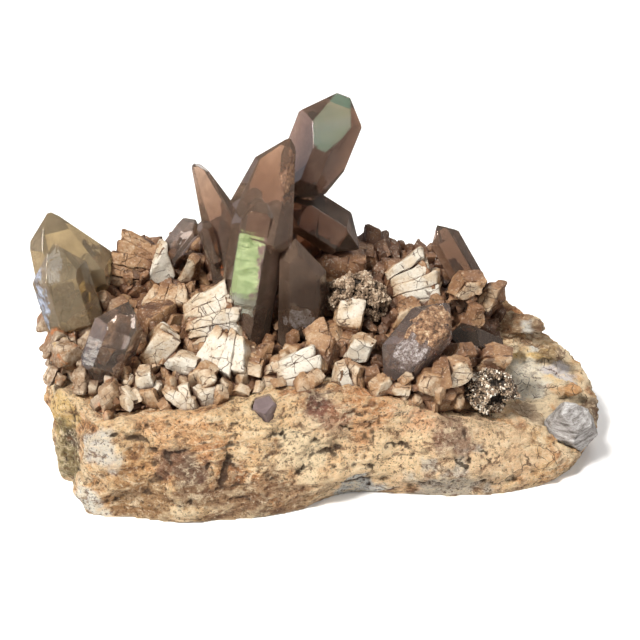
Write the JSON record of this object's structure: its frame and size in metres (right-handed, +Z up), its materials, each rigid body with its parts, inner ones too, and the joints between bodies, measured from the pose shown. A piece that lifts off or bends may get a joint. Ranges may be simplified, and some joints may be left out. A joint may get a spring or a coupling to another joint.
{
  "type": "smoky quartz cluster",
  "caption": "Natural mineral specimen: smoky quartz points growing from a crust of blocky cream feldspar on a slab of weathered rock with a flat underside.",
  "frame": {"origin": "on the flat underside of the slab, below the middle of the specimen", "axes": "+X along the slab to its bare low end, +Y from the broken front face to the back, +Z up"},
  "size_m": [0.1888, 0.0981, 0.1141],
  "materials": {
    "rock": "rough broken granite stained ochre and rust",
    "feldspar": "satin cleavage faces, ivory with brown cracks",
    "smoky_quartz": "polished natural faces, transparent smoky brown",
    "olive_quartz": "polished natural faces, transparent olive brown",
    "clear_quartz": "polished natural faces, transparent pale smoky",
    "coated_quartz": "etched faces with a clay coating on the upper side",
    "grey_quartz": "broken shell-like faces, cloudy grey",
    "mica": "fine pearly flakes"
  },
  "bodies": {
    "root": {"matrix": "rock", "feldspar_crust": "feldspar", "quartz_main": "smoky_quartz", "quartz_crown": "smoky_quartz", "quartz_blade": "smoky_quartz", "quartz_left_pair": "olive_quartz", "quartz_left_point": "clear_quartz", "quartz_lying": "coated_quartz", "quartz_right_point": "smoky_quartz", "quartz_dark": "smoky_quartz", "quartz_small_back": "clear_quartz", "quartz_chunk": "grey_quartz", "quartz_grain": "grey_quartz", "mica_tuft_centre": "mica", "mica_tuft_right": "mica"}
  },
  "joints": []
}
